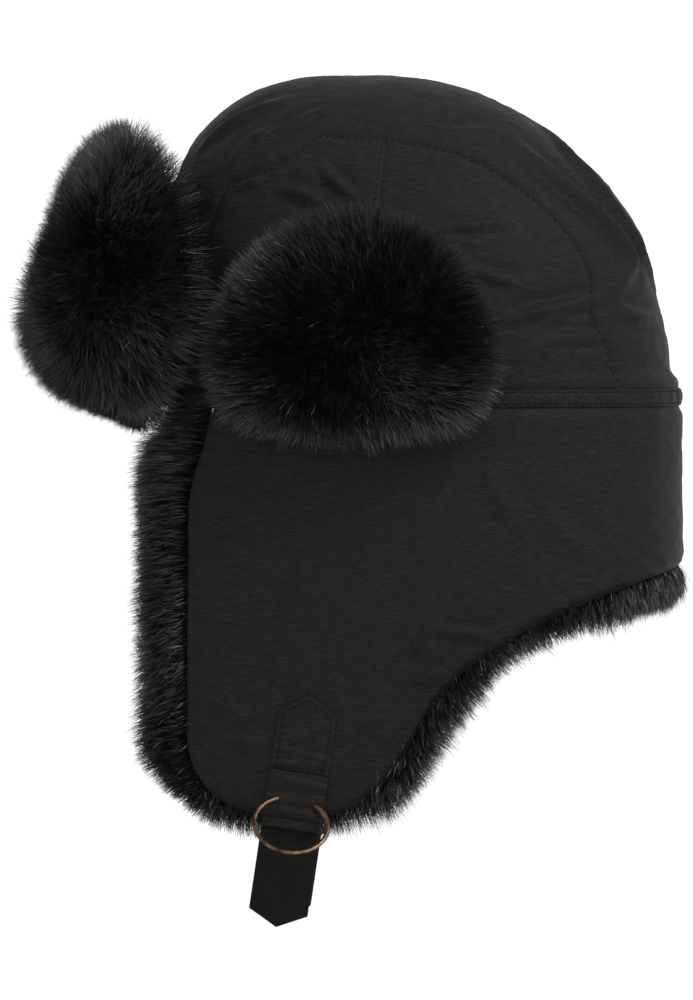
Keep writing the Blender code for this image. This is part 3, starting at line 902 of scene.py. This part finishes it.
def lobe_surface(a, b, lift):
    """Points over the turned-up side lobe on the wearer's left, from disc coordinates."""
    y = LOBE_CENTER[0] + a * LOBE_REACH
    z = LOBE_CENTER[1] + b * np.where(b > 0, LOBE_UP, LOBE_DOWN)
    return np.stack([side_x(y, 0 * y) + LOBE_STANDOFF - LOBE_LEAN * z + lift, y, z], -1)


def lobe_hair(pad, side_name, side, centre, rng):
    """Guard hairs of one side lobe, spreading from its middle; the rim's are shorter."""
    def density(places, normals):
        return np.where(normals[:, 0] * side < -0.35, 0.0, 1.0)

    roots, normals = scatter(pad, LOBE_HAIRS, density, rng)
    away = (roots - centre * (side, 1, 1)) * (0.15, 1, 1) / LOBE_REACH
    lean = away * 0.95 + np.array([0.0, 0.0, -0.12]) + 0.28 * swirl(roots, 34)
    lengths = rng.normal(*LOBE_PILE, len(roots)) * MM
    lengths = lengths * (1 - 0.28 * np.clip(np.abs(normals[:, 1]) + np.abs(normals[:, 2]) - 0.7, 0, 1))
    hair = strands(f"side_lobe_hair_{side_name}", roots, normals, lengths, lean, rng)
    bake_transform(hair)


def side_lobes(rng):
    """Fur flaps turned up over the ears: a backing of cloth, an underfur pad and guard hairs."""
    a0, b0 = np.meshgrid(np.linspace(-1, 1, 64), np.linspace(-1, 1, 64))
    rounding = np.where(b0 > 0, 0.5, 0.27)
    a, b = a0 * np.sqrt(1 - rounding * b0 * b0), b0 * np.sqrt(1 - rounding * a0 * a0)
    swell = np.sqrt(np.clip(1 - np.maximum(np.abs(a0), np.abs(b0)) ** 4, 0, 1))
    lump = 1 + 0.12 * fbm(np.stack([a, b, 0 * a], -1), 2.2, 2, 5.0)
    outer = lobe_surface(a, b, 1.5 * MM + 12 * MM * swell * lump)
    inner = lobe_surface(a, b, 0.8 * MM + 0 * a)
    cloth = lobe_surface(a * 0.98, b * 0.98, 0 * a)
    centre = lobe_surface(np.array(0.0), np.array(-0.15), np.array(0.0))
    for side_name, side in SIDES:
        body = f"side_lobe_{side_name}"
        cloth_sheet(f"side_lobe_cloth_{side_name}", cloth * (side, 1, 1), SHELL,
                    [f"side_lobe_backing_{side_name}"], body, flip=side < 0)
        pad = cushion(f"side_lobe_pad_{side_name}", outer * (side, 1, 1), inner * (side, 1, 1),
                      UNDERCOAT, [f"side_lobe_fur_{side_name}"], side < 0)
        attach(pad, body)
        lobe_hair(pad, side_name, side, centre, rng)


def visor_surface(a, b, lift, grow=0.0):
    """Points over the turned-up visor, from rounded square coordinates."""
    z = VISOR_CENTER_Z + b * (VISOR_HALF_HEIGHT + grow)
    lean = VISOR_LEAN * np.maximum(0, z - VISOR_LEAN_Z)
    tuck = VISOR_TUCK * np.maximum(0, VISOR_TUCK_Z - z) ** 2
    depth = VISOR_DEPTH - lean - tuck + lift
    angle = a * VISOR_SPREAD
    return np.stack([(VISOR_HALF + lift) * np.sin(angle), VISOR_AXIS_Y - depth * np.cos(angle), z], -1)


def visor_hair(pad, rng):
    """Guard hairs of the visor, short at the bottom of its front."""
    middle = np.array([0.0, -0.115, 0.050])

    def density(places, normals):
        outward = unit((places - middle) * (1, 1, 0))
        return np.where((outward * normals).sum(1) < -0.45, 0.0, 1.0)

    roots, normals = scatter(pad, VISOR_HAIRS, density, rng)
    rise = (roots[:, 2:3] - 0.040) / 0.06
    sideways = np.sign(roots[:, :1]) * np.clip(np.abs(roots[:, :1]) / 0.06 - 0.2, 0, 1) * (0, 0.5, 0)
    lean = rise * (0, 0, 0.5) + sideways + np.array([0.0, -0.05, -0.12]) + 0.30 * swirl(roots, 30)
    lengths = rng.normal(*VISOR_PILE, len(roots)) * MM * (1 - 0.25 * np.abs(normals[:, 2]))
    low_front = ease((0.012 - roots[:, 2]) / 0.018) * ease((-0.112 - roots[:, 1]) / 0.020)
    lengths = lengths * (1 - 0.35 * low_front)
    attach(strands("visor_hair", roots, normals, lengths, lean, rng), "visor")


def visor(rng):
    """Fur visor turned up over the forehead, with its cloth backing and wadding."""
    a0, b0 = np.meshgrid(np.linspace(-1, 1, 130), np.linspace(-1, 1, 60))
    a, b = a0 * np.sqrt(1 - 0.4 * b0 * b0), b0 * np.sqrt(1 - 0.4 * a0 * a0)
    swell = np.sqrt(np.clip(1 - np.maximum(np.abs(a0), np.abs(b0)) ** 4, 0, 1))
    lump = 1 + 0.10 * fbm(np.stack([3 * a, b, 0 * a], -1), 2.0, 2, 8.0)
    cloth_sheet("visor_cloth", visor_surface(a, b, 0 * a), SHELL,
                ["visor_backing"], "visor")
    filler = cushion("visor_wadding_pad", visor_surface(a * 0.97, b * 0.97, 1 * MM + 2.6 * MM * swell),
                     visor_surface(a * 0.97, b * 0.97, 0.9 * MM + 0 * a), WADDING,
                     ["visor_wadding"])
    pad = cushion("visor_pad", visor_surface(a, b, 5.0 * MM + 11 * MM * swell * lump, 1 * MM),
                  visor_surface(a, b, 4.2 * MM + 0 * a, 1 * MM), UNDERCOAT, ["visor_fur"])
    for piece in (filler, pad):
        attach(piece, "visor")
    visor_hair(pad, rng)


def trim_density(places, normals):
    """Weight of the lining's hair: most of it stands on the trim, none is behind the shell."""
    beyond = edge_distance(places) < 3 * MM
    radial = unit((places - (0, -0.01, 0)) * (1, 1, 0))
    facing_out = (radial * normals).sum(1) > 0.2
    weight = np.where(facing_out, 0.0, 0.45)
    weight = np.where(beyond, 3.0, weight)
    return weight * (places[:, 2] < -3.2 * MM) * (np.abs(places[:, 0]) > 1 * MM)


def lower_hair(pad, side_name, side, rng):
    """Guard hairs of the lining; on the trim they lean out past the front edge and the hem."""
    roots, normals = scatter(pad, LOWER_HAIRS, trim_density, rng)
    y, z = roots[:, 1], roots[:, 2]
    front = np.exp(-np.clip(y - SHELL_EDGE_Y + 0.014, 0, 1) / (9 * MM))[:, None]
    hem = np.exp(-np.clip(edge_distance(roots) + 0.004, 0, 1) / (8 * MM))[:, None] * (1 - 0.6 * front)
    lean = front * unit(np.array([-0.35 * side, -1.0, 0.0])) * 0.9 + hem * hem_outward(y) * 0.9
    lean = lean + np.array([0, 0, -0.15]) + 0.30 * swirl(roots, 30)
    lean = lean + front * ease((roots[:, 2:3] + 0.018) / 0.012) * (0, 0, 0.9)
    lean = lean + ease((roots[:, 1:2] - 0.075) / 0.025) * (0, -0.7, -0.5)
    lengths = rng.normal(*LOWER_PILE, len(roots)) * MM
    lengths = lengths * (1 - 0.40 * hem[:, 0] * (1 - np.minimum(1.2 * hem_share(y), 1)))
    lengths = lengths * (1 + 0.80 * front[:, 0] * ease((z + 0.050) / 0.030))
    corner = ease((-0.150 - z) / 0.020) * ease((-0.085 - y) / 0.015)
    return strands(f"lower_hair_{side_name}", roots, normals, lengths * (1 - 0.45 * corner), lean, rng)


def lower_fur(rng):
    """Fur lining of the neck and ear flaps, which stands out past the shell as a trim."""
    outer = lower_grid(130, 76, 4.5 * MM, 13 * MM, 5 * MM, top=-3 * MM)
    inner = lower_grid(130, 76, 13.5 * MM, 12 * MM, 4 * MM, top=-3 * MM)
    filler_out = lower_grid(90, 60, 2.2 * MM, -3 * MM, -4 * MM, top=-5 * MM)
    filler_in = lower_grid(90, 60, 4.2 * MM, -4 * MM, -5 * MM, top=-5 * MM)
    for side_name, side in SIDES:
        mirror = (side, 1, 1)
        filler = cushion(f"lower_wadding_pad_{side_name}", filler_out * mirror, filler_in * mirror,
                         WADDING, [f"ear_flap_wadding_{side_name}", "neck_wadding"],
                         side < 0)
        pad = cushion(f"lower_pad_{side_name}", outer * mirror, inner * mirror, UNDERCOAT,
                      [f"ear_flap_fur_{side_name}", "neck_fur"], side < 0)
        for piece in (filler, pad, lower_hair(pad, side_name, side, rng)):
            bend_with_flap(piece)


# ---- tab, loop and strap

TAB_TOP, TAB_LEAN, TAB_HALF = (-0.046, -0.128), math.radians(8.5), 12.8 * MM
# Start and end of each strip, measured down from the tab's tip
TAB_SPAN, LOOP_SPAN, STRAP_SPAN = (0, 0.0345), (0.0343, 0.0590), (0.0555, 0.1020)


def tab_surface(across, along, lift):
    """Points over the ear flap, measured from the tab's tip down its leaning centre line."""
    y = TAB_TOP[0] + across * math.cos(TAB_LEAN) - along * math.sin(TAB_LEAN)
    z = TAB_TOP[1] - across * math.sin(TAB_LEAN) - along * math.cos(TAB_LEAN)
    return np.stack([side_x(y, z) + lift, y, z], -1)


def webbing(kind, side_name, side, body, start, end, lift, thick, mat, flat, relief,
            top_point=0.0, bottom_point=0.0):
    """Flat strip of folded cloth with rounded edges and an optional point at either end."""
    rows, columns = 110, 60
    turn = np.linspace(0, TAU, columns, endpoint=False)[None, :]
    v = np.linspace(0, 1, rows)[:, None]
    across = TAB_HALF * np.sign(np.cos(turn)) * np.abs(np.cos(turn)) ** 0.45 + 0 * v
    depth = np.sign(np.sin(turn)) * np.abs(np.sin(turn)) ** 0.35
    from_end = np.minimum(v, 1 - v) * (end - start)
    taper = np.sqrt(np.clip(1 - (1 - from_end / (1.0 * MM)).clip(0) ** 2, 0, 1))
    shape = np.abs(across) / TAB_HALF
    first, last = start + top_point * shape, end - bottom_point * shape
    along = first + (last - first) * v
    rise = lift + thick / 2 + depth * taper * thick / 2 + relief(across, along)
    points = tab_surface(across, along, rise) * (side, 1, 1)
    faces = grid_faces(rows, columns, True)
    obj = mesh_object(f"{kind}_cloth_{side_name}", points, faces if side > 0 else faces[:, ::-1])
    dress(obj, mat)
    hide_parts(f"{kind}_{side_name}")
    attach(obj, f"{body}_{side_name}")
    return obj


def ridges(across, along, places, height, width):
    """Slightly slanting ridges across a strip, each with a hollow above it."""
    relief = 0 * along
    for number, place in enumerate(places):
        centre = place + across * 0.10 * (-1) ** number
        relief = relief + height * bell(along - centre, width)
        relief = relief - 0.7 * height * bell(along - centre + 1.8 * width, width)
    return relief


def tab_relief(across, along):
    """Creases across the tab and the groove of its edge stitching."""
    place = np.stack([across, along, 0 * along], -1)
    waves = 0.35 * MM * fbm(place, (60, 190, 1), 3, 3.0)
    edge = (TAB_HALF - np.abs(across)) / MM
    groove = -0.45 * MM * bell(edge - 2.2, 0.6)
    return waves + groove + ridges(across, along, (0.0262, 0.0305), 0.55 * MM, 1.2 * MM)


def loop_relief(across, along):
    """Rounded folds where the cloth doubles back through the ring."""
    place = np.stack([across, along, 0 * along], -1)
    waves = 0.3 * MM * fbm(place, (70, 190, 1), 3, 5.0)
    lower_fold = -0.9 * MM * bell(along - 0.0545, 0.7 * MM)
    return waves + lower_fold + ridges(across, along, (0.0385, 0.0465, 0.0515), 0.7 * MM, 1.6 * MM)


def strap_relief(across, along):
    """Soft lengthwise bow and crinkles of the hanging strap."""
    place = np.stack([across, along, 0 * along], -1)
    darts = np.sin(across / TAB_HALF * 8.0 + 1.0) * 0.8 * MM * (1 - ease((along - 0.058) / 0.014))
    bow = 0.9 * MM * np.sin((along - 0.0555) / 0.047 * math.pi * 1.3)
    edge = (TAB_HALF - np.abs(across)) / MM
    groove = -0.3 * MM * bell(edge - 1.6, 0.7)
    return darts + bow + groove + 0.4 * MM * fbm(place, (60, 110, 1), 3, 13.0)


def fastenings():
    """Stitched tab, ring loop, ring and pointed strap of each ear flap."""
    tabs = []
    for side_name, side in SIDES:
        tabs.append(webbing("strap_tab", side_name, side, "ear_flap", *TAB_SPAN, 1.0 * MM, 1.6 * MM, SHELL,
                            (0.054, 0.038), tab_relief, top_point=8.5 * MM))
        webbing("ring_loop", side_name, side, "ring", *LOOP_SPAN, 1.0 * MM, 3.4 * MM, SHELL,
                (0.054, 0.026), loop_relief)
        webbing("chin_strap", side_name, side, "strap", *STRAP_SPAN, -1.8 * MM, 1.8 * MM, STRAP_CLOTH,
                (0.054, 0.050), strap_relief, bottom_point=6.5 * MM)
        dress(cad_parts[f"ring_{side_name}"], METAL)
    return tabs


# ---- stitches

STITCH_RADIUS = 0.24 * MM


def surface_tree(pieces):
    """Search tree over the faces of several meshes in the row frame."""
    verts, faces = [], []
    for obj in pieces:
        first = len(verts)
        verts.extend(v.co.copy() for v in obj.data.vertices)
        faces.extend([first + i for i in poly.vertices] for poly in obj.data.polygons)
    return BVHTree.FromPolygons(verts, faces)


def stitches(name, lines, tree, pitch=3.2 * MM):
    """Rows of single stitches lying on the cloth along the lines; their ends dive into it."""
    sides, steps = 6, 6
    angle = TAU * np.arange(sides)[:, None] / sides
    rings = []
    for line in lines:
        marks = resample(line, max(3, int(round(travelled(line)[-1] / pitch)) + 1))
        for low, high in zip(marks[:-1], marks[1:]):
            centre, half = (low + high) / 2, 0.40 * pitch * unit(high - low)
            normal = np.array(tree.find_nearest(Vector(centre.tolist()))[1])
            normal *= np.sign(np.dot(normal, centre - DOME_CENTER))
            cross = np.cross(unit(half), normal)
            for s in np.linspace(-1, 1, steps):
                spot = np.array(tree.find_nearest(Vector((centre + half * s).tolist()))[0])
                height = STITCH_RADIUS * (0.55 - 1.5 * abs(s) ** 4)
                girth = STITCH_RADIUS * math.sqrt(max(1 - abs(s) ** 3, 0.04))
                rings.append(spot + normal * (height + girth * np.sin(angle)) + cross * girth * np.cos(angle))
    first = np.arange(len(rings) // steps)[:, None, None] * steps * sides
    faces = (grid_faces(steps, sides, True) + first).reshape(-1, 4)
    return dress(mesh_object(name, np.array(rings), faces), THREAD)


def beside(line, offset):
    """Line moved sideways along the dome by an offset in y and x, then dropped back onto it."""
    direction = unit(np.gradient(line, axis=0))
    outward = unit(line - DOME_CENTER)
    return on_dome(line + np.cross(direction, outward) * offset)


def sew(crown_pieces, band_piece, tabs):
    """Topstitching beside the crown seams, both rows on the band, and round each tab."""
    lines = [beside(SEAM_LEFT[4:-4] * (side, 1, 1), 2.0 * MM * side) for side in (1, -1)]
    lines += [beside(SIDE_SEAM[2:-2] * (side, 1, 1), 2.0 * MM * side) for side in (1, -1)]
    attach(stitches("crown_topstitch", lines, surface_tree(crown_pieces)), "crown")
    rows = [outline(np.linspace(0, TAU, 900), z, -0.3 * MM)
            for z in (BAND_LOW + 0.9 * MM, BAND_HIGH - 0.9 * MM)]
    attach(stitches("band_stitches", rows, surface_tree([band_piece])), "crown")
    edge, shoulder = TAB_HALF - 2.2 * MM, 9.5 * MM
    stops = [(-edge, 0.0335), (-edge, shoulder), (0, 2.4 * MM), (edge, shoulder), (edge, 0.0335)]
    bar = [(-edge, 0.0328), (edge, 0.0322)]
    for (side_name, side), tab in zip(SIDES, tabs):
        lines = []
        for path in (stops, bar):
            across, along = np.array(path).T
            lines.append(resample(tab_surface(across, along, 3 * MM + 0 * across) * (side, 1, 1), 200))
        thread = stitches(f"tab_stitches_{side_name}", lines, surface_tree([tab]), 2.8 * MM)
        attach(thread, f"ear_flap_{side_name}")


# ---- the whole hat

RNG = np.random.default_rng(7)
CROWN_PIECES = crown()
BAND_PIECE = band()
inside()
lower_shell()
lower_fur(RNG)
visor(RNG)
side_lobes(RNG)
sew(CROWN_PIECES, BAND_PIECE, fastenings())


# ---- camera, light and floor

VIEW_AZIMUTH, VIEW_ELEVATION = math.radians(90.4), math.radians(0.8)
VIEW_TARGET = Vector((0.0, -0.0312, -0.0455))
VIEW_DISTANCE = 12.0
FRAME_HEIGHT = 0.4348
SENSOR = 36.0
FLOOR_REACH, FLOOR_DROP = 40, 0.12


def aimed(data, place, target):
    """Object for a camera or light that looks from a place to a target."""
    obj = bpy.data.objects.new(data.name, data)
    obj.location = place
    obj.rotation_euler = (Vector(target) - Vector(place)).to_track_quat("-Z", "Y").to_euler()
    bpy.context.scene.collection.objects.link(obj)
    return obj


def add_camera():
    """Distant camera level with the hat, on the wearer's left."""
    camera = bpy.data.cameras.new("camera")
    camera.sensor_width = SENSOR
    camera.lens = SENSOR * VIEW_DISTANCE / FRAME_HEIGHT
    camera.clip_end = 60
    direction = Vector((math.sin(VIEW_AZIMUTH) * math.cos(VIEW_ELEVATION),
                        -math.cos(VIEW_AZIMUTH) * math.cos(VIEW_ELEVATION), math.sin(VIEW_ELEVATION)))
    place = VIEW_TARGET + direction * VIEW_DISTANCE
    bpy.context.scene.camera = aimed(camera, place, VIEW_TARGET)


def area_light(name, place, size, power):
    """Square soft light that faces the hat."""
    light = bpy.data.lights.new(name, "AREA")
    light.size = size
    light.energy = power
    aimed(light, place, (0, -0.02, 0))


def studio():
    """White surroundings, two soft lights and a plain pale floor below the hat."""
    world = bpy.data.worlds.new("studio")
    bpy.context.scene.world = world
    world.use_nodes = True
    background = world.node_tree.nodes["Background"]
    background.inputs["Color"].default_value = (1, 1, 1, 1)
    background.inputs["Strength"].default_value = 1.1
    area_light("back_key", (0.80, 0.95, 1.2), 0.6, 30)
    area_light("front_side", (1.5, -0.6, 0.7), 0.7, 7)
    corners = [(FLOOR_REACH * x, FLOOR_REACH * y, 0) for x, y in ((-1, -1), (1, -1), (1, 1), (-1, 1))]
    floor = mesh_object("floor", corners, [(0, 1, 2, 3)])
    floor.location.z = CAD_BOX[0][2] - FLOOR_DROP
    mat, shader = new_material("pale_floor", 0.9)
    shader.inputs["Base Color"].default_value = (0.93, 0.93, 0.93, 1)
    floor.data.materials.append(mat)
    bpy.context.scene.view_settings.view_transform = "Standard"


add_camera()
studio()
